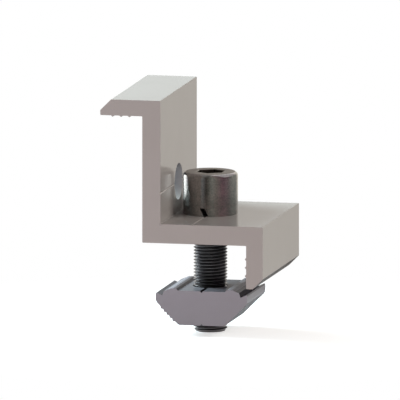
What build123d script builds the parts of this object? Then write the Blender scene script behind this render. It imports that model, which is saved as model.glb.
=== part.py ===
from build123d import *
import math
import os

# Solar end clamp: a Z-shaped extruded clamp that holds the edge of a module's frame down on a
# mounting rail, with a socket head screw, a split spring washer and a channel nut.
# Millimetres. X runs across the clamp, from the module (-X) to the foot (+X), Y along the
# extrusion and Z up. The origin is where the screw's axis crosses the top of the rail.

# Module and clamp profile
profile_length = 40.0
module_frame_height = 40.0     # height of the frame that the lip holds down
grip_play = 0.1                # room between the frame and the lip's ridges before tightening
web_thickness = 4.4
flange_thickness = 4.55
foot_thickness = 4.0
lip_thickness = 3.8
foot_height = 10.3             # rail to the flange's underside
lip_reach = 10.15              # web to the lip's nose
web_clearance = 1.2            # screw head to the web's inner face
foot_clearance = 1.95          # channel nut to the foot's inner face, when the nut is drawn up
lip_chamfer = 2.6
foot_chamfer = 2.4
inner_corner_radius = 0.2
outer_edge_radius = 0.2

# Grip ridges under the lip and on the foot's inner face
ridge_count = 3
ridge_pitch = 2.0
ridge_width = 0.8
ridge_height = 0.35
lip_ridge_start = 3.0          # lip's nose to the first ridge
foot_ridge_start = 3.1         # rail to the lowest ridge

# Holes and the scribed grooves that they are drilled on
screw_hole_diameter = 9.0
web_hole_diameter = 8.6
web_hole_height = 22.2         # above the rail
clamp_groove_width = 0.5
clamp_groove_depth = 0.25

# Socket head screw, M8
thread_diameter = 8.0
screw_length = 30.0            # under the head
head_diameter = 13.0
head_height = 8.0
head_edge_radius = 1.0
socket_across_flats = 6.0
socket_depth = 4.4
socket_cone_depth = 1.7        # left by the drill under the hexagon
socket_mouth_chamfer = 0.1
socket_turn = 0.0              # degrees from X to the nearest flat
tip_chamfer = 0.6

# Split spring washer, pressed flat
washer_diameter = 12.95
washer_thickness = 2.0
washer_clearance = 0.075       # radial, round the screw
slit_width = 1.15
slit_lean = 27.0               # degrees from upright
slit_turn = -1.3               # degrees round the screw from the front (-Y)

# Channel nut
nut_length = 20.0
nut_width = 22.1
nut_height = 8.2               # bottom to the flat middle of the top
thread_past_nut = 2.55         # how far the screw's tip stands out below the nut
thread_fit = 0.05              # radial clearance of the plain bore round the plain shank
bore_chamfer = 0.1
crest_rise = 0.5               # crests above the flat middle
crest_inner = 6.1              # screw axis to a crest's inner edge
crest_outer = 7.4              # screw axis to a crest's outer edge
crest_slope_run = 0.4          # width of the slope from the middle up to a crest
shoulder_drop = 0.7            # crest down to the top of the groove's wall
groove_distance = 9.45         # screw axis to the bottom of a rail groove
groove_depth = 1.25            # below the flat middle
groove_wall_run = 0.35         # how far the groove's wall leans in
lip_rise = 0.65                # outer lips above the grooves' bottom
lip_bevel_width = 0.2
lip_bevel_height = 0.3
flank_start = 2.7              # flat middle down to the 45 degree flanks
side_corner_radius = 1.5
bottom_corner_radius = 1.0
nut_groove_width = 0.7         # scribed grooves that mark the middle, above and below
nut_groove_depth = 0.4

# Teeth on the nut's left flank
tooth_pitch = 1.0
tooth_height = 0.35
plain_above_teeth = 1.6        # flank left plain under the side's corner
plain_below_teeth = 1.1        # flank left plain above the bottom's corner, at the least

# Levels and distances that the pieces share
lip_bottom = module_frame_height + grip_play + ridge_height
lip_top = lip_bottom + lip_thickness
flange_top = foot_height + flange_thickness
head_seat = flange_top + washer_thickness
head_top = head_seat + head_height
screw_tip = head_seat - screw_length
nut_bottom = screw_tip + thread_past_nut
nut_top = nut_bottom + nut_height
web_inner = -(head_diameter / 2 + web_clearance)
web_outer = web_inner - web_thickness
lip_nose = web_outer - lip_reach
foot_inner = nut_width / 2 + foot_clearance
foot_outer = foot_inner + foot_thickness


def triangle(tip, base_middle, base_width):
    """A triangle in the cross-section, from the middle of its base to its tip."""
    middle = Vector(*base_middle)
    along = Vector(*tip) - middle
    half_base = Vector(-along.Y, along.X).normalized() * (base_width / 2)
    return make_face(Polyline(middle + half_base, Vector(*tip), middle - half_base, close=True))


def rounded(section, corners, radius):
    """Rounds the section's corners that lie at the given points."""
    chosen = [
        vertex for vertex in section.vertices()
        if any((vertex.center() - Vector(*corner)).length < 0.001 for corner in corners)
    ]
    return fillet(chosen, radius)


def along_y(section, length):
    """Extrudes a cross-section, drawn as (X, Z), equally to both sides of the screw's axis."""
    return extrude(Plane.XZ * section, amount=length / 2, both=True)


def clamp_section():
    """The clamp's cross-section with its rounded corners, ridges and scribed grooves."""
    inner_corners = [(web_outer, lip_bottom), (web_inner, flange_top), (foot_inner, foot_height)]
    corners = [
        (web_outer, foot_height),
        (web_outer, lip_bottom),
        (lip_nose, lip_bottom),
        (lip_nose, lip_top - lip_chamfer),
        (lip_nose + lip_chamfer, lip_top),
        (web_inner, lip_top),
        (web_inner, flange_top),
        (foot_outer, flange_top),
        (foot_outer, foot_chamfer),
        (foot_outer - foot_chamfer, 0),
        (foot_inner, 0),
        (foot_inner, foot_height),
    ]
    outer_corners = [corner for corner in corners if corner not in inner_corners]
    section = make_face(Polyline(*corners, close=True))
    section = rounded(section, inner_corners, inner_corner_radius)
    section = rounded(section, outer_corners, outer_edge_radius)
    for i in range(ridge_count):
        x = lip_nose + lip_ridge_start + i * ridge_pitch
        section += triangle((x, lip_bottom - ridge_height), (x, lip_bottom), ridge_width)
        z = foot_ridge_start + i * ridge_pitch
        section += triangle((foot_inner - ridge_height, z), (foot_inner, z), ridge_width)
    flange_groove_bottom = flange_top - clamp_groove_depth
    web_groove_bottom = web_inner - clamp_groove_depth
    section -= triangle((0, flange_groove_bottom), (0, flange_top), clamp_groove_width)
    section -= triangle(
        (web_groove_bottom, web_hole_height), (web_inner, web_hole_height), clamp_groove_width)
    return section


def clamp_profile():
    """The extruded clamp with the screw's hole in the flange and the hole through the web."""
    profile = along_y(clamp_section(), profile_length)
    flange_middle = (foot_height + flange_top) / 2
    web_middle = (web_inner + web_outer) / 2
    screw_hole = Cylinder(screw_hole_diameter / 2, 2 * flange_thickness)
    web_hole = Rot(0, 90, 0) * Cylinder(web_hole_diameter / 2, 2 * web_thickness)
    profile -= Pos(0, 0, flange_middle) * screw_hole
    profile -= Pos(web_middle, 0, web_hole_height) * web_hole
    return profile


def lock_washer():
    """The pressed spring washer: a flat ring with a slanted slit at its front."""
    bore_radius = thread_diameter / 2 + washer_clearance
    outer_radius = washer_diameter / 2
    ring = Cylinder(outer_radius, washer_thickness) - Cylinder(bore_radius, washer_thickness * 2)
    slit_across = slit_width * math.cos(math.radians(slit_lean))
    slit = Rot(0, -slit_lean, 0) * Box(slit_across, washer_diameter, washer_thickness * 3)
    ring -= Pos(0, -outer_radius, 0) * slit
    return Pos(0, 0, flange_top + washer_thickness / 2) * Rot(0, 0, slit_turn) * ring


def hexagon_socket():
    """What the hexagon socket takes out of the head: the hexagon and the drilled cone."""
    flat_radius = socket_across_flats / 2
    socket_floor = head_top - socket_depth
    hexagon = RegularPolygon(flat_radius, 6, major_radius=False, rotation=socket_turn + 30)
    socket = extrude(Pos(0, 0, socket_floor) * hexagon, amount=2 * socket_depth)
    cone = Cone(0, flat_radius, socket_cone_depth)
    return socket + Pos(0, 0, socket_floor - socket_cone_depth / 2) * cone


def cap_screw():
    """The screw: head, shank at the thread's outer size, and hexagon socket."""
    head_radius = head_diameter / 2
    shank_radius = thread_diameter / 2
    half_section = make_face(Polyline(
        (0, screw_tip),
        (shank_radius - tip_chamfer, screw_tip),
        (shank_radius, screw_tip + tip_chamfer),
        (shank_radius, head_seat),
        (head_radius, head_seat),
        (head_radius, head_top),
        (0, head_top),
        close=True,
    ))
    half_section = rounded(half_section, [(head_radius, head_top)], head_edge_radius)
    screw = revolve(Plane.XZ * half_section, Axis.Z) - hexagon_socket()
    mouth_edges = screw.edges().filter_by(GeomType.LINE).group_by(Axis.Z)[-1]
    return chamfer(mouth_edges, socket_mouth_chamfer)


def nut_outline():
    """The nut's plain cross-section: crests, rail grooves, outer lips and 45 degree flanks."""
    side = nut_width / 2
    crest = nut_top + crest_rise
    groove_bottom = nut_top - groove_depth
    lip_peak = groove_bottom + lip_rise
    flank_top = nut_top - flank_start
    flank_drop = flank_top - nut_bottom
    right_half = [
        (crest_inner - crest_slope_run, nut_top),
        (crest_inner, crest),
        (crest_outer, crest),
        (groove_distance - groove_wall_run, crest - shoulder_drop),
        (groove_distance, groove_bottom),
        (side - lip_bevel_width, lip_peak),
        (side, lip_peak - lip_bevel_height),
        (side, flank_top),
        (side - flank_drop, nut_bottom),
    ]
    left_half = [(-x, z) for x, z in reversed(right_half)]
    outline = make_face(Polyline(*right_half, *left_half, close=True))
    side_corners = [(side, flank_top), (-side, flank_top)]
    bottom_corners = [(side - flank_drop, nut_bottom), (flank_drop - side, nut_bottom)]
    outline = rounded(outline, side_corners, side_corner_radius)
    return rounded(outline, bottom_corners, bottom_corner_radius)


def nut_section():
    """The outline with the teeth on its left flank and the scribed grooves."""
    section = nut_outline()
    slope = math.sqrt(0.5)
    corner_x = -nut_width / 2
    corner_z = nut_top - flank_start
    flank_length = (corner_z - nut_bottom) / slope
    toothed_length = flank_length - plain_above_teeth - plain_below_teeth
    for i in range(math.floor(toothed_length / tooth_pitch)):
        down = (plain_above_teeth + (i + 0.5) * tooth_pitch) * slope
        tooth_foot = (corner_x + down, corner_z - down)
        tooth_tip = (tooth_foot[0] - tooth_height * slope, tooth_foot[1] - tooth_height * slope)
        section += triangle(tooth_tip, tooth_foot, tooth_pitch)
    section -= triangle((0, nut_top - nut_groove_depth), (0, nut_top), nut_groove_width)
    section -= triangle((0, nut_bottom + nut_groove_depth), (0, nut_bottom), nut_groove_width)
    return section


def rail_nut():
    """The channel nut with its bore, plain where the real one is threaded."""
    bore_radius = thread_diameter / 2 + thread_fit
    mouth_radius = bore_radius + bore_chamfer
    bore = Cylinder(bore_radius, 2 * nut_height)
    top_mouth = Cone(bore_radius, mouth_radius, bore_chamfer)
    bottom_mouth = Cone(mouth_radius, bore_radius, bore_chamfer)
    nut = along_y(nut_section(), nut_length)
    nut -= Pos(0, 0, (nut_bottom + nut_top) / 2) * bore
    nut -= Pos(0, 0, nut_top - bore_chamfer / 2) * top_mouth
    nut -= Pos(0, 0, nut_bottom + bore_chamfer / 2) * bottom_mouth
    return nut


pieces = {
    "clamp_profile": clamp_profile(),
    "lock_washer": lock_washer(),
    "cap_screw": cap_screw(),
    "rail_nut": rail_nut(),
}
os.makedirs("parts", exist_ok=True)
for name, piece in pieces.items():
    export_step(piece, f"parts/{name}.step")
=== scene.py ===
import math

import bmesh
import bpy
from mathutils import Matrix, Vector


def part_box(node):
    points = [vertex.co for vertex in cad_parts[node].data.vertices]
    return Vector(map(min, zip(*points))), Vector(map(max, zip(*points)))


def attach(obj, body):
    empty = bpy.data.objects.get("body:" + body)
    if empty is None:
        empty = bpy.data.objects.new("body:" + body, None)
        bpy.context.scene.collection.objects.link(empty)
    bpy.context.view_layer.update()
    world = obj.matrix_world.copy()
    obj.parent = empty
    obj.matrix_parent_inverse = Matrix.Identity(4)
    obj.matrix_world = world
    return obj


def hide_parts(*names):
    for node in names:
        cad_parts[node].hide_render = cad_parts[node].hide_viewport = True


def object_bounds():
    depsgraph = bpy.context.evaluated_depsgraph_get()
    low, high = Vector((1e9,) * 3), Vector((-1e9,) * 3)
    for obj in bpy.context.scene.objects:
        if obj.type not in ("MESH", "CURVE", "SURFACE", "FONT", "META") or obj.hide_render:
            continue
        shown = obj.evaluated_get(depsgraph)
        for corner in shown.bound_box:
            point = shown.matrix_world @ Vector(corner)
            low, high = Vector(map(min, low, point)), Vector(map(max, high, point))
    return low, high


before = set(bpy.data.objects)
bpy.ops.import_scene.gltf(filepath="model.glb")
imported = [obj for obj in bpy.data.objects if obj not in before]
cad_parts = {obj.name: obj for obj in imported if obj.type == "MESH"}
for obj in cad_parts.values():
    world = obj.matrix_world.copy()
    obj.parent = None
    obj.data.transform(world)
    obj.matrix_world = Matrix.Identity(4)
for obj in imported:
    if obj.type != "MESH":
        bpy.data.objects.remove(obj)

# Looks of the solar end clamp: the screw with its real thread, the finish of each piece, and a
# plain studio. Metres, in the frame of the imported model: X across the clamp, Y along it, Z up.

cad_low, cad_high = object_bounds()
MM = 0.001

# Camera, set by the photograph, which has no perspective
PICTURE_SIDE = 400                 # pixels
PIXELS_PER_METRE = 4236.0
ORIGIN_PIXEL = (210.5, 275.2)      # where the object's origin shows
CAMERA_AZIMUTH = 12.4              # degrees
CAMERA_ELEVATION = 8.51
CAMERA_DISTANCE = 0.5
CAMERA_REACH = (0.01, 5.0)         # nearest and farthest that it sees

# Screw, M8 with a fine thread
THREAD_RADIUS = 4.0 * MM
THREAD_PITCH = 0.75 * MM
THREAD_DEPTH = 0.46 * MM
THREAD_SEGMENTS = 96
SPARE_TURNS = 2                    # of thread past each end, which are cut away
RUNOUT_LENGTH = 1.2 * MM           # the thread fades out under the head
RUNOUT_MARGIN = 0.3 * MM           # left plain between the run-out and the head
TIP_CHAMFER = 0.6 * MM
HEAD_HEIGHT = 8.0 * MM
HEAD_SEGMENTS = 144                # a multiple of 6, for the socket's corners
HEAD_TOP_ROUND = 1.0 * MM
HEAD_BOTTOM_ROUND = 0.03 * MM
TOP_ROUND_STEPS = 10
BOTTOM_ROUND_STEPS = 4
UNDERCUT = 0.1 * MM                # the head's seat starts this far outside the thread
SOCKET_FLAT_RADIUS = 3.0 * MM
SOCKET_EDGE_BREAK = 0.1 * MM
SOCKET_DEPTH = 4.4 * MM
SOCKET_CONE_DEPTH = 1.7 * MM
SOCKET_CONE_RADIUS = 0.96 * SOCKET_FLAT_RADIUS
SOCKET_TURN = 0.0                  # degrees from X to the nearest flat
SHARP_ANGLE = math.radians(28)     # edges over this stay crisp
LEVEL_TOLERANCE = 0.0001 * MM

# Finishes of the screw, and where the socket's and the top's end
THREAD_FINISH, SIDE_FINISH, TOP_FINISH, SOCKET_FINISH, EDGE_FINISH = range(5)
SOCKET_FINISH_RADIUS = 1.2 * SOCKET_FLAT_RADIUS
TOP_FINISH_DEPTH = HEAD_TOP_ROUND / 20

# One pitch of the thread, from crest to crest: share of the pitch and share of the depth
THREAD_PROFILE = [
    (0.0, 0.0), (1 / 16, 0.05), (3.5 / 16, 0.51), (6 / 16, 0.96),
    (8 / 16, 1.0), (10 / 16, 0.96), (12.5 / 16, 0.51), (15 / 16, 0.05),
]


def new_object(name, mesh):
    """Links a mesh, camera or lamp to the scene as an object."""
    made = bpy.data.objects.new(name, mesh)
    bpy.context.scene.collection.objects.link(made)
    return made


def round_place(radius, angle, z):
    """The point at a radius and an angle round the screw's axis."""
    return radius * math.cos(angle), radius * math.sin(angle), z


def smoothstep(low, high, value):
    """0 below low, 1 above high and smooth between them."""
    t = min(max((value - low) / (high - low), 0.0), 1.0)
    return t * t * (3 - 2 * t)


def thread_radius(z, depth_share, tip_z, seat_z):
    """Radius of the thread's surface, with its run-out under the head and the tip's chamfer."""
    runout = smoothstep(0, RUNOUT_LENGTH, seat_z - RUNOUT_MARGIN - z)
    radius = THREAD_RADIUS - THREAD_DEPTH * depth_share * runout
    return min(radius, THREAD_RADIUS - TIP_CHAMFER + max(z - tip_z, 0))


def cut_flat(bm, z, outward):
    """Cuts away what lies past a level, upward or downward, and returns the edges of the cut."""
    everything = bm.verts[:] + bm.edges[:] + bm.faces[:]
    bmesh.ops.bisect_plane(
        bm, geom=everything, plane_co=(0, 0, z), plane_no=(0, 0, outward), clear_outer=True)
    return [edge for edge in bm.edges
            if edge.is_boundary and all(abs(v.co.z - z) < LEVEL_TOLERANCE for v in edge.verts)]


def add_thread(bm, tip_z, seat_z):
    """The helical thread from the tip to the head's seat. Returns the edges at the seat."""
    rows = len(THREAD_PROFILE)
    turns = math.ceil((seat_z - tip_z) / THREAD_PITCH)
    count = rows * (turns + SPARE_TURNS + 1)
    start_z = tip_z - SPARE_TURNS * THREAD_PITCH
    columns = []
    for i in range(THREAD_SEGMENTS):
        angle = 2 * math.pi * i / THREAD_SEGMENTS
        column = []
        for j in range(count):
            pitch_share, depth_share = THREAD_PROFILE[j % rows]
            z = start_z + THREAD_PITCH * (j // rows + pitch_share + i / THREAD_SEGMENTS)
            radius = thread_radius(z, depth_share, tip_z, seat_z)
            column.append(bm.verts.new(round_place(radius, angle, z)))
        columns.append(column)
    columns.append(columns[0][rows:])   # a full turn later the first column is one pitch up
    for near, far in zip(columns, columns[1:]):
        for j in range(len(far) - 1):
            bm.faces.new((near[j], far[j], far[j + 1], near[j + 1]))
    tip_edges = cut_flat(bm, tip_z, -1)
    bmesh.ops.contextual_create(bm, geom=tip_edges)
    return cut_flat(bm, seat_z, 1)


def arc(centre, radius, start, end, steps):
    """Points along an arc in the plane of radius and Z, from one angle to another in degrees."""
    angles = [math.radians(start + (end - start) * k / steps) for k in range(steps + 1)]
    return [(centre[0] + radius * math.cos(a), centre[1] + radius * math.sin(a)) for a in angles]


def hexagon_radius(angle):
    """Distance from the axis to the socket's wall."""
    half_side = math.pi / 6
    from_flat = (angle - math.radians(SOCKET_TURN) + half_side) % (2 * half_side) - half_side
    return SOCKET_FLAT_RADIUS / math.cos(from_flat)


def head_rings(head_radius, seat_z, top_z, angles):
    """The head's surface from its seat over the top and down the socket, as rings of (radius, Z)."""
    floor_z = top_z - SOCKET_DEPTH
    bottom_centre = (head_radius - HEAD_BOTTOM_ROUND, seat_z + HEAD_BOTTOM_ROUND)
    top_centre = (head_radius - HEAD_TOP_ROUND, top_z - HEAD_TOP_ROUND)
    outline = [(THREAD_RADIUS + UNDERCUT, seat_z)]
    outline += arc(bottom_centre, HEAD_BOTTOM_ROUND, -90, 0, BOTTOM_ROUND_STEPS)
    outline += arc(top_centre, HEAD_TOP_ROUND, 0, 90, TOP_ROUND_STEPS)
    rings = [[place] * len(angles) for place in outline]
    walls = [hexagon_radius(angle) for angle in angles]
    rings.append([(wall + SOCKET_EDGE_BREAK, top_z) for wall in walls])
    rings.append([(wall, top_z - SOCKET_EDGE_BREAK) for wall in walls])
    rings.append([(wall, floor_z) for wall in walls])
    rings.append([(SOCKET_CONE_RADIUS, floor_z)] * len(angles))
    return rings


def add_head(bm, head_radius, seat_z, top_z, seat_edges):
    """The head with its socket, joined to the thread's edges at the seat."""
    first_corner = math.radians(SOCKET_TURN + 30)
    angles = [first_corner + 2 * math.pi * i / HEAD_SEGMENTS for i in range(HEAD_SEGMENTS)]
    rings = []
    for places in head_rings(head_radius, seat_z, top_z, angles):
        ring = [bm.verts.new(round_place(r, angle, z)) for (r, z), angle in zip(places, angles)]
        rings.append(ring + ring[:1])
    for lower, upper in zip(rings, rings[1:]):
        for i in range(HEAD_SEGMENTS):
            bm.faces.new((lower[i], lower[i + 1], upper[i + 1], upper[i]))
    apex = bm.verts.new((0, 0, top_z - SOCKET_DEPTH - SOCKET_CONE_DEPTH))
    for first, second in zip(rings[-1], rings[-1][1:]):
        bm.faces.new((first, second, apex))
    inner_edges = [bm.edges.get(pair) for pair in zip(rings[0], rings[0][1:])]
    bmesh.ops.bridge_loops(bm, edges=seat_edges + inner_edges)


def screw_finish(centre, seat_z, top_z):
    """Which finish a face of the screw has, by where it lies."""
    if centre.z < seat_z:
        return THREAD_FINISH
    if centre.xy.length < SOCKET_FINISH_RADIUS:
        return SOCKET_FINISH
    if centre.z > top_z - TOP_FINISH_DEPTH:
        return TOP_FINISH
    return EDGE_FINISH if centre.z > top_z - HEAD_TOP_ROUND else SIDE_FINISH


def make_screw(finishes):
    """The whole screw as one closed mesh, inside the solid that it stands for."""
    low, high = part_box("cap_screw")
    tip_z, top_z = low.z, high.z
    seat_z = top_z - HEAD_HEIGHT
    bm = bmesh.new()
    seat_edges = add_thread(bm, tip_z, seat_z)
    add_head(bm, high.x, seat_z, top_z, seat_edges)
    bmesh.ops.recalc_face_normals(bm, faces=bm.faces)
    mesh = bpy.data.meshes.new("threaded_screw")
    bm.to_mesh(mesh)
    bm.free()
    mesh.shade_smooth()
    mesh.set_sharp_from_angle(angle=SHARP_ANGLE)
    for finish in finishes:
        mesh.materials.append(finish)
    for face in mesh.polygons:
        face.material_index = screw_finish(face.center, seat_z, top_z)
    screw = new_object("threaded_screw", mesh)
    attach(screw, "screw")
    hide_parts("cap_screw")


# Node helpers for the materials


def add_node(tree, kind, **settings):
    """A new node with its settings."""
    made = tree.nodes.new(kind)
    for name, value in settings.items():
        setattr(made, name, value)
    return made


def connect(tree, target, value):
    """Links a socket to a target socket, or sets a constant on it."""
    if isinstance(value, bpy.types.NodeSocket):
        tree.links.new(value, target)
    elif target.type == "RGBA" and len(value) == 3:
        target.default_value = (*value, 1)
    else:
        target.default_value = value


def maths(tree, operation, *values):
    """A Math node's result."""
    made = add_node(tree, "ShaderNodeMath", operation=operation)
    for target, value in zip(made.inputs, values):
        connect(tree, target, value)
    return made.outputs[0]


def scaled(tree, point, factors):
    """A point with each coordinate multiplied."""
    made = add_node(tree, "ShaderNodeVectorMath", operation="MULTIPLY")
    connect(tree, made.inputs[0], point)
    connect(tree, made.inputs[1], factors)
    return made.outputs[0]


def split(tree, vector):
    """The X, Y and Z of a vector."""
    made = add_node(tree, "ShaderNodeSeparateXYZ")
    connect(tree, made.inputs[0], vector)
    return made.outputs


def noise(tree, point, scale, detail=3.0, roughness=0.5):
    """Noise from 0 to 1 at a point."""
    made = add_node(tree, "ShaderNodeTexNoise")
    connect(tree, made.inputs["Vector"], point)
    made.inputs["Scale"].default_value = scale
    made.inputs["Detail"].default_value = detail
    made.inputs["Roughness"].default_value = roughness
    return made.outputs["Fac"]


def between(tree, value, low, high, from_low=0.0, from_high=1.0, **settings):
    """A value carried from one range to another."""
    made = add_node(tree, "ShaderNodeMapRange", **settings)
    for target, item in zip(made.inputs, (value, from_low, from_high, low, high)):
        connect(tree, target, item)
    return made.outputs[0]


def mixed(tree, kind, factor, first, second):
    """Two colours (RGBA) or two numbers (FLOAT) mixed by a factor."""
    made = add_node(tree, "ShaderNodeMix", data_type=kind)
    connect(tree, made.inputs["Factor"], factor)
    value_type = {"RGBA": "RGBA", "FLOAT": "VALUE"}[kind]
    for name, value in (("A", first), ("B", second)):
        target = next(s for s in made.inputs if s.name == name and s.type == value_type)
        connect(tree, target, value)
    return next(s for s in made.outputs if s.type == value_type)


def joined_shader(tree, factor, first, second):
    """Two shaders mixed by a factor."""
    made = add_node(tree, "ShaderNodeMixShader")
    for target, value in zip(made.inputs, (factor, first, second)):
        connect(tree, target, value)
    return made.outputs[0]


def bumped(tree, height, distance, strength, under=None):
    """A normal from a height, whose full range stands for a distance in metres."""
    made = add_node(tree, "ShaderNodeBump")
    connect(tree, made.inputs["Height"], height)
    made.inputs["Distance"].default_value = distance
    made.inputs["Strength"].default_value = strength
    if under:
        connect(tree, made.inputs["Normal"], under)
    return made.outputs["Normal"]


def new_material(name):
    """A material with its tree, its shader and the outputs of its coordinates."""
    material = bpy.data.materials.new(name)
    material.use_nodes = True
    tree = material.node_tree
    coordinates = add_node(tree, "ShaderNodeTexCoord").outputs
    return material, tree, tree.nodes["Principled BSDF"], coordinates


# Finish of the extruded aluminium
TOP_SHADE_SHARE = 0.6                   # painted shade: tone of the nut's top beside its bright crests
GROOVE_SHADE_SHARE = 0.25                  # painted shade: tone of its scribed grooves and of its groove walls
ROUGH_SHADE_TONE = 0.85                  # painted shade: tone of the rougher places and of the underside
METAL_SHARE = 0.08                 # how much of the light is mirrored by the bare metal
BARE_ROUGHNESS = (0.4, 0.5)        # under the sheen, by the grain
COAT_ROUGHNESS = 0.13
GRAIN_RELIEF = 0.004 * MM
GRAIN_STRENGTH = 0.5
GRAIN_SHARE = 0.3                  # how far the grain, and not the clouds, sets the tone

# Finish of the steel
MARK_RELIEF = 0.002 * MM
MARK_STRENGTH = 0.4
ROUGHNESS_SPREAD = (-0.03, 0.05)   # round a finish's own roughness, by the marks
SPECK_SHARE = 0.5                  # how far the specks, and not the clouds, set the tone
MARK_DRAG = 0.03                   # turned steel has its marks drawn out round the axis
PLAIN_DRAG = 0.5
RADIAL_TURN = 0.25                 # turns its anisotropic reflections along the axis

# Sizes of the noise, per metre, and the values that it keeps to
DIE_LINE_SCALE = 5200
DIE_LINE_DRAG = 0.012              # die lines are drawn out along the extrusion
SAW_MARK_SCALE = 3800
SAW_MARK_DRAG = 0.05
CLOUD_SCALE = 90
STEEL_MARK_SCALE = 4200
STEEL_CLOUD_SCALE = 260
STEEL_SPECK_SCALE = 2600
NOISE_RANGE = (0.3, 0.7)
SPECK_RANGE = (0.4, 0.6)

# How far a face's normal points along an axis, for it to count as such a face
END_FACING = 0.9
UP_FACING = 0.4
WALL_FACING = 0.1


def toned(tree, colour, mask, share):
    """A colour darkened to a share of itself where a mask is 1."""
    return mixed(tree, "RGBA", mask, colour, scaled(tree, colour, (share, share, share)))


def in_strip(tree, value, low, high):
    """1 between two values and 0 outside them."""
    return maths(tree, "MULTIPLY", maths(tree, "GREATER_THAN", value, low),
                 maths(tree, "LESS_THAN", value, high))


# Which axis a round place runs along, where a ball has none
ALONG_X, ALONG_Y, BALL = 0, 1, None
CRISP_EDGE = 0.001 * MM


def within(tree, point, axis, middle, radius, edge_width=CRISP_EDGE):
    """1 within a radius of a line through the middle, or of the middle itself, and 0 outside."""
    away = add_node(tree, "ShaderNodeVectorMath", operation="SUBTRACT")
    connect(tree, away.inputs[0], point)
    connect(tree, away.inputs[1], middle)
    across = scaled(tree, away.outputs[0], [0 if i == axis else 1 for i in range(3)])
    length = add_node(tree, "ShaderNodeVectorMath", operation="LENGTH")
    connect(tree, length.inputs[0], across)
    return between(tree, length.outputs["Value"], 1, 0, radius - edge_width, radius)


def extruded_aluminium(name, pale, dark, sheen, rough_share, rough_and_shaded_places=(), bright_strip=(),
                       scribe_half_width=0.0, groove_wall=(), eased_edge=()):
    """Mill-finish aluminium: fine die lines along Y, saw marks on the cut ends and a soft sheen.

    The underside and the rougher places, each given as within() takes it, keep a share of the
    sheen and are painted darker, as painted shade.
    Where there is a bright strip, between two distances from the middle, the rest of the top is
    painted darker, as painted shade. Scribed lines along the middle and groove walls between two
    distances are painted dark as shade, without sheen. An eased edge, from one distance to another,
    slopes down to the middle.
    """
    material, tree, shader, coordinates = new_material(name)
    point, normal = coordinates["Object"], coordinates["Normal"]
    _, facing_back, facing_up = split(tree, normal)
    end_face = maths(tree, "GREATER_THAN", maths(tree, "ABSOLUTE", facing_back), END_FACING)
    die_lines = noise(tree, scaled(tree, point, (1, DIE_LINE_DRAG, 1)), DIE_LINE_SCALE,
                      detail=4, roughness=0.6)
    saw_marks = noise(tree, scaled(tree, point, (1, 1, SAW_MARK_DRAG)), SAW_MARK_SCALE,
                      roughness=0.55)
    grain = mixed(tree, "FLOAT", end_face, die_lines, saw_marks)
    cloud = noise(tree, point, CLOUD_SCALE)
    tone = mixed(tree, "FLOAT", GRAIN_SHARE, cloud, grain)
    colour = mixed(tree, "RGBA", between(tree, tone, 0, 1, *NOISE_RANGE), dark, pale)
    from_middle = maths(tree, "ABSOLUTE", split(tree, point)[0])
    # painted shade: the underside and the rougher places are darkened, and they keep less sheen
    rough_and_shaded = maths(tree, "LESS_THAN", facing_up, -UP_FACING)
    for place in rough_and_shaded_places:
        rough_and_shaded = maths(tree, "MAXIMUM", rough_and_shaded, within(tree, point, *place))
    colour = toned(tree, colour, rough_and_shaded, ROUGH_SHADE_TONE)
    shine = between(tree, rough_and_shaded, 1.0, rough_share)
    on_top = maths(tree, "GREATER_THAN", facing_up, UP_FACING)
    if bright_strip:
        plain = maths(tree, "SUBTRACT", 1.0, in_strip(tree, from_middle, *bright_strip))
        # painted shade: the nut's top beside its crests is darkened
        colour = toned(tree, colour, maths(tree, "MULTIPLY", on_top, plain), TOP_SHADE_SHARE)
    if groove_wall:
        # painted shade in the scribed groove and on the groove walls, where shade falls
        near_middle = maths(tree, "LESS_THAN", from_middle, scribe_half_width)
        scribed = maths(tree, "MULTIPLY", near_middle, maths(tree, "SUBTRACT", 1.0, end_face))
        leaning = maths(tree, "GREATER_THAN", facing_up, WALL_FACING)
        wall = maths(tree, "MULTIPLY", in_strip(tree, from_middle, *groove_wall), leaning)
        groove_shade = maths(tree, "MAXIMUM", scribed, wall)
        colour = toned(tree, colour, groove_shade, GROOVE_SHADE_SHARE)
        shine = maths(tree, "MULTIPLY", shine, maths(tree, "SUBTRACT", 1.0, groove_shade))
    connect(tree, shader.inputs["Base Color"], colour)
    connect(tree, shader.inputs["Roughness"],
            between(tree, grain, *BARE_ROUGHNESS, *NOISE_RANGE))
    relief = bumped(tree, grain, GRAIN_RELIEF, GRAIN_STRENGTH)
    if eased_edge:
        low, high, drop = eased_edge
        rise = maths(tree, "MULTIPLY", on_top, between(tree, from_middle, 0, 1, low, high))
        relief = bumped(tree, rise, drop, 1.0, relief)
    connect(tree, shader.inputs["Normal"], relief)
    shader.inputs["Specular IOR Level"].default_value = 0.0
    connect(tree, shader.inputs["Metallic"], maths(tree, "MULTIPLY", shine, METAL_SHARE))
    connect(tree, shader.inputs["Coat Weight"], maths(tree, "MULTIPLY", shine, sheen))
    shader.inputs["Coat Roughness"].default_value = COAT_ROUGHNESS
    return material


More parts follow.
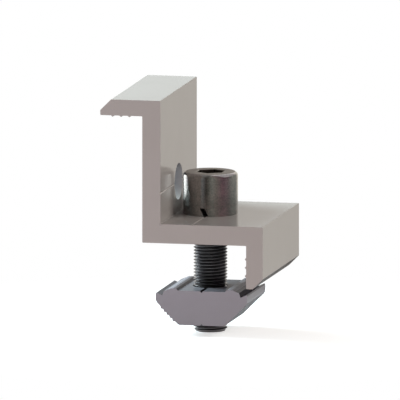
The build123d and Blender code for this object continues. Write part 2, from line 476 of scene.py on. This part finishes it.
def dark_steel(name, pale, dark, roughness, edge_tint=1.0, turned=0.0):
    """Smooth dark steel with fine marks.

    The edge tint is the share that it mirrors at a glancing angle. Turned steel smears its
    reflections along the axis.
    """
    material, tree, shader, coordinates = new_material(name)
    point = coordinates["Object"]
    drag = MARK_DRAG if turned else PLAIN_DRAG
    marks = noise(tree, scaled(tree, point, (drag, drag, 1)), STEEL_MARK_SCALE, roughness=0.6)
    specks = noise(tree, point, STEEL_SPECK_SCALE, detail=2)
    cloud = mixed(tree, "FLOAT", SPECK_SHARE, noise(tree, point, STEEL_CLOUD_SCALE), specks)
    connect(tree, shader.inputs["Base Color"],
            mixed(tree, "RGBA", between(tree, cloud, 0, 1, *SPECK_RANGE), dark, pale))
    lowest, highest = (roughness + change for change in ROUGHNESS_SPREAD)
    connect(tree, shader.inputs["Roughness"],
            between(tree, marks, lowest, highest, *NOISE_RANGE))
    connect(tree, shader.inputs["Normal"], bumped(tree, marks, MARK_RELIEF, MARK_STRENGTH))
    shader.inputs["Metallic"].default_value = 1.0
    shader.inputs["Specular Tint"].default_value = (edge_tint, edge_tint, edge_tint, 1)
    if turned:
        shader.inputs["Anisotropic"].default_value = turned
        shader.inputs["Anisotropic Rotation"].default_value = RADIAL_TURN
        around = add_node(tree, "ShaderNodeTangent", direction_type="RADIAL", axis="Z")
        connect(tree, shader.inputs["Tangent"], around.outputs[0])
    return material


# Studio


def from_angles(azimuth, elevation):
    """A direction seen from the object. Azimuth 0 is in front (-Y) and 90 to the right (+X)."""
    a, e = math.radians(azimuth), math.radians(elevation)
    return Vector((math.sin(a) * math.cos(e), -math.cos(a) * math.cos(e), math.sin(e)))


def make_camera():
    """The photograph's camera: no perspective, a little to the right and above."""
    back = from_angles(CAMERA_AZIMUTH, CAMERA_ELEVATION)
    right = Vector((-back.y, back.x, 0)).normalized()
    up = back.cross(right)
    data = bpy.data.cameras.new("camera")
    data.type = "ORTHO"
    data.ortho_scale = PICTURE_SIDE / PIXELS_PER_METRE
    data.clip_start, data.clip_end = CAMERA_REACH
    camera = new_object("camera", data)
    to_right = (PICTURE_SIDE / 2 - ORIGIN_PIXEL[0]) / PIXELS_PER_METRE
    upward = (ORIGIN_PIXEL[1] - PICTURE_SIDE / 2) / PIXELS_PER_METRE
    camera.location = right * to_right + up * upward + back * CAMERA_DISTANCE
    camera.rotation_mode = "QUATERNION"
    camera.rotation_quaternion = (-back).to_track_quat("-Z", "Y")
    bpy.context.scene.camera = camera


def softbox(name, azimuth, elevation, distance, side, power, colour, in_reflections=True):
    """A square lamp that points at the middle of the object, in degrees, metres and watts."""
    toward = from_angles(azimuth, elevation)
    data = bpy.data.lights.new(name, "AREA")
    data.shape = "SQUARE"
    data.size = side
    data.energy = power
    data.color = colour
    lamp = new_object(name, data)
    lamp.location = (cad_low + cad_high) / 2 + toward * distance
    lamp.rotation_mode = "QUATERNION"
    lamp.rotation_quaternion = (-toward).to_track_quat("-Z", "Y")
    lamp.visible_camera = False
    lamp.visible_glossy = in_reflections


def seen_directly(tree):
    """Whether a ray comes from the camera, and whether from the camera, gloss or glass."""
    path = add_node(tree, "ShaderNodeLightPath").outputs
    either = maths(tree, "MAXIMUM", path["Is Camera Ray"], path["Is Glossy Ray"])
    return path["Is Camera Ray"], maths(tree, "MAXIMUM", either, path["Is Transmission Ray"])


# Colours of the studio's walls by azimuth in degrees, as polished metal shows them: white behind
# the object, greyer behind the camera
WALLS = [
    (-180, (0.97, 0.93, 0.85)), (-150, (0.98, 0.95, 0.89)), (-110, (0.98, 1, 1.03)),
    (-80, (0.8, 0.87, 1)), (-52, (0.7, 0.77, 0.78)),
    (-7, (0.05, 0.045, 0.04)), (5, (0.15, 0.155, 0.135)), (19, (0.39, 0.41, 0.38)),
    (36, (0.29, 0.275, 0.255)), (57, (0.265, 0.175, 0.2)), (68, (0.22, 0.115, 0.15)),
    (92, (0.19, 0.14, 0.155)), (106, (0.28, 0.29, 0.28)), (122, (0.42, 0.46, 0.43)),
    (138, (0.38, 0.41, 0.39)), (151, (0.5, 0.5, 0.47)), (162, (1, 0.96, 0.87)),
    (180, (1, 0.97, 0.9)),
]
# The same higher up, where only the part behind the object's right is bright, and lower down
CEILING = [
    (-180, (1, 1, 1)), (-165, (0.35, 0.35, 0.35)), (-52, (0.4, 0.4, 0.4)),
    (-7, (0.13, 0.125, 0.115)), (19, (0.36, 0.35, 0.33)), (36, (0.3, 0.27, 0.25)),
    (66, (0.25, 0.16, 0.195)), (80, (0.9, 0.85, 0.9)), (125, (0.9, 0.85, 0.9)),
    (145, (0.35, 0.35, 0.35)), (163, (1.5, 1.4, 1.5)), (180, (1, 1, 1)),
]
GROUND = [
    (-180, (0.3, 0.29, 0.28)), (-110, (0.32, 0.35, 0.45)), (-52, (0.5, 0.57, 0.68)),
    (-7, (0.06, 0.05, 0.045)), (19, (0.38, 0.37, 0.35)), (36, (0.38, 0.35, 0.32)),
    (66, (0.23, 0.14, 0.175)), (108, (0.27, 0.28, 0.27)), (145, (0.3, 0.29, 0.28)),
    (180, (0.3, 0.29, 0.28)),
]
# Where the ceiling and the ground fade in, as the Z of a direction
CEILING_FADE = (0.3, 0.5)
GROUND_FADE = (-0.175, -0.21)
AMBIENT_COLOUR = (1.0, 0.98, 0.97)
AMBIENT_STRENGTH = 0.17


def all_round(tree, place, colours):
    """Colours by azimuth, where place goes from 0 to 1 once round the object."""
    ramp = add_node(tree, "ShaderNodeValToRGB")
    connect(tree, ramp.inputs[0], place)
    elements = ramp.color_ramp.elements
    while len(elements) < len(colours):
        elements.new(0.5)
    for element, (azimuth, colour) in zip(elements, colours):
        element.position = azimuth / 360 + 0.5
        element.color = (*colour, 1)
    return ramp.outputs[0]


def make_world():
    """The studio: white to the eye, its walls in reflections, and an even light."""
    world = bpy.data.worlds.new("studio")
    bpy.context.scene.world = world
    world.use_nodes = True
    tree = world.node_tree
    tree.nodes.clear()
    camera_ray, seen = seen_directly(tree)
    direction = split(tree, add_node(tree, "ShaderNodeTexCoord").outputs["Generated"])
    turn = maths(tree, "ARCTAN2", direction[0], maths(tree, "MULTIPLY", direction[1], -1.0))
    place = between(tree, turn, 0, 1, -math.pi, math.pi)
    upward = between(tree, direction[2], 0, 1, *CEILING_FADE)
    downward = between(tree, direction[2], 0, 1, *GROUND_FADE)
    walls, ceiling, ground = (all_round(tree, place, part) for part in (WALLS, CEILING, GROUND))
    mirrored = mixed(tree, "RGBA", downward, mixed(tree, "RGBA", upward, walls, ceiling), ground)
    shown = add_node(tree, "ShaderNodeBackground")
    connect(tree, shown.inputs[0], mixed(tree, "RGBA", camera_ray, mirrored, (1, 1, 1)))
    light = add_node(tree, "ShaderNodeBackground")
    connect(tree, light.inputs[0], AMBIENT_COLOUR)
    connect(tree, light.inputs[1], AMBIENT_STRENGTH)
    output = add_node(tree, "ShaderNodeOutputWorld")
    connect(tree, output.inputs[0], joined_shader(tree, seen, light.outputs[0], shown.outputs[0]))


FLOOR_RADIUS = 0.09
FLOOR_FADE_START = 0.035
FLOOR_SEGMENTS = 64
FLOOR_COLOUR = (0.8, 0.8, 0.8)
FLOOR_ROUGHNESS = 0.9
FLOOR_GLOW = 0.5                   # lifts the floor to white for the camera and in reflections


def make_floor():
    """A round pale floor under the screw's tip, which fades out into the white behind it.

    It is clear from below.
    """
    material, tree, shader, coordinates = new_material("floor")
    connect(tree, shader.inputs["Base Color"], FLOOR_COLOUR)
    shader.inputs["Roughness"].default_value = FLOOR_ROUGHNESS
    _, seen = seen_directly(tree)
    below = add_node(tree, "ShaderNodeNewGeometry").outputs["Backfacing"]
    glow = add_node(tree, "ShaderNodeEmission")
    glow.inputs["Strength"].default_value = FLOOR_GLOW
    lit = add_node(tree, "ShaderNodeAddShader")
    connect(tree, lit.inputs[0], shader.outputs[0])
    connect(tree, lit.inputs[1], glow.outputs[0])
    surface = joined_shader(tree, seen, shader.outputs[0], lit.outputs[0])
    x, y, _ = split(tree, coordinates["Object"])
    squares = [maths(tree, "MULTIPLY", value, value) for value in (x, y)]
    radius = maths(tree, "SQRT", maths(tree, "ADD", *squares))
    far = between(tree, radius, 0, 1, FLOOR_FADE_START, FLOOR_RADIUS,
                  interpolation_type="SMOOTHSTEP")
    gone = maths(tree, "MAXIMUM", far, below)
    clear = add_node(tree, "ShaderNodeBsdfTransparent").outputs[0]
    connect(tree, tree.nodes["Material Output"].inputs[0], joined_shader(tree, gone, surface, clear))
    bm = bmesh.new()
    bmesh.ops.create_circle(bm, cap_ends=True, segments=FLOOR_SEGMENTS, radius=FLOOR_RADIUS)
    mesh = bpy.data.meshes.new("floor")
    bm.to_mesh(mesh)
    bm.free()
    mesh.materials.append(material)
    floor = new_object("floor", mesh)
    floor.location.z = cad_low.z
    floor.visible_diffuse = False


def finish_node(name, material):
    """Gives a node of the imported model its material."""
    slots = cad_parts[name].data.materials
    for i in range(len(slots)):
        slots[i] = material


make_camera()
make_world()
make_floor()
softbox("key", -106, 37, 0.6, 0.36, 8.0, (0.78, 0.96, 1.0))
softbox("rim", -125, -2, 0.2, 0.12, 0.082, (0.88, 0.98, 1.0))
softbox("front_fill", 0, 3, 0.6, 0.4, 2.2, (1.0, 0.79, 0.68), in_reflections=False)
softbox("left_fill", -60, 0, 0.6, 0.3, 2.3, (0.6, 0.8, 1.0), in_reflections=False)
softbox("right_fill", 99, 30, 0.6, 0.4, 2.3, (1.0, 0.97, 0.9), in_reflections=False)

# The clamp's rougher places, which are also painted darker as shade: the web's hole, the corner
# of web and flange, and, with a soft edge, the part of that corner beside the head
WEB_HOLE_MIDDLE = (0, 0, 22.2 * MM)
CORNER_MIDDLE = (-7.7 * MM, 0, 14.85 * MM)
CLAMP_ROUGH_AND_SHADED_PLACES = [
    (ALONG_X, WEB_HOLE_MIDDLE, 4.35 * MM),
    (ALONG_Y, CORNER_MIDDLE, 0.4 * MM),
    (BALL, CORNER_MIDDLE, 6.5 * MM, 2.5 * MM),
]
finish_node("clamp_profile",
            extruded_aluminium("clamp_aluminium", (0.375, 0.35, 0.342), (0.355, 0.33, 0.322),
                               sheen=0.6, rough_share=0.1, rough_and_shaded_places=CLAMP_ROUGH_AND_SHADED_PLACES))
# the nut has painted shade on its top beside the crests and in its grooves
finish_node("rail_nut",
            extruded_aluminium("nut_aluminium", (0.295, 0.283, 0.316), (0.275, 0.264, 0.295),
                               sheen=0.2, rough_share=0.5, bright_strip=(6.1 * MM, 8.2 * MM),
                               scribe_half_width=0.45 * MM, groove_wall=(9.05 * MM, 9.46 * MM),
                               eased_edge=(6.1 * MM, 6.8 * MM, 0.42 * MM)))
STEEL_PALE, STEEL_DARK = (0.42, 0.38, 0.36), (0.26, 0.265, 0.25)
finish_node("lock_washer", dark_steel("washer_steel", STEEL_PALE, STEEL_DARK, 0.22, turned=1.0))
make_screw([
    dark_steel("screw_thread", (0.122, 0.114, 0.117), (0.1, 0.093, 0.095), 0.32),
    dark_steel("screw_head", STEEL_PALE, STEEL_DARK, 0.22, turned=1.0),
    dark_steel("screw_top", (0.4, 0.365, 0.325), (0.3, 0.275, 0.245), 0.5, edge_tint=0.75),
    # painted shade: the socket's steel is darker than the head's, for the shade inside the socket
    dark_steel("screw_socket", (0.22, 0.2, 0.17), (0.2, 0.18, 0.15), 0.3),
    dark_steel("screw_edge", STEEL_PALE, STEEL_DARK, 0.09),
])

bpy.context.scene.view_settings.view_transform = "Standard"
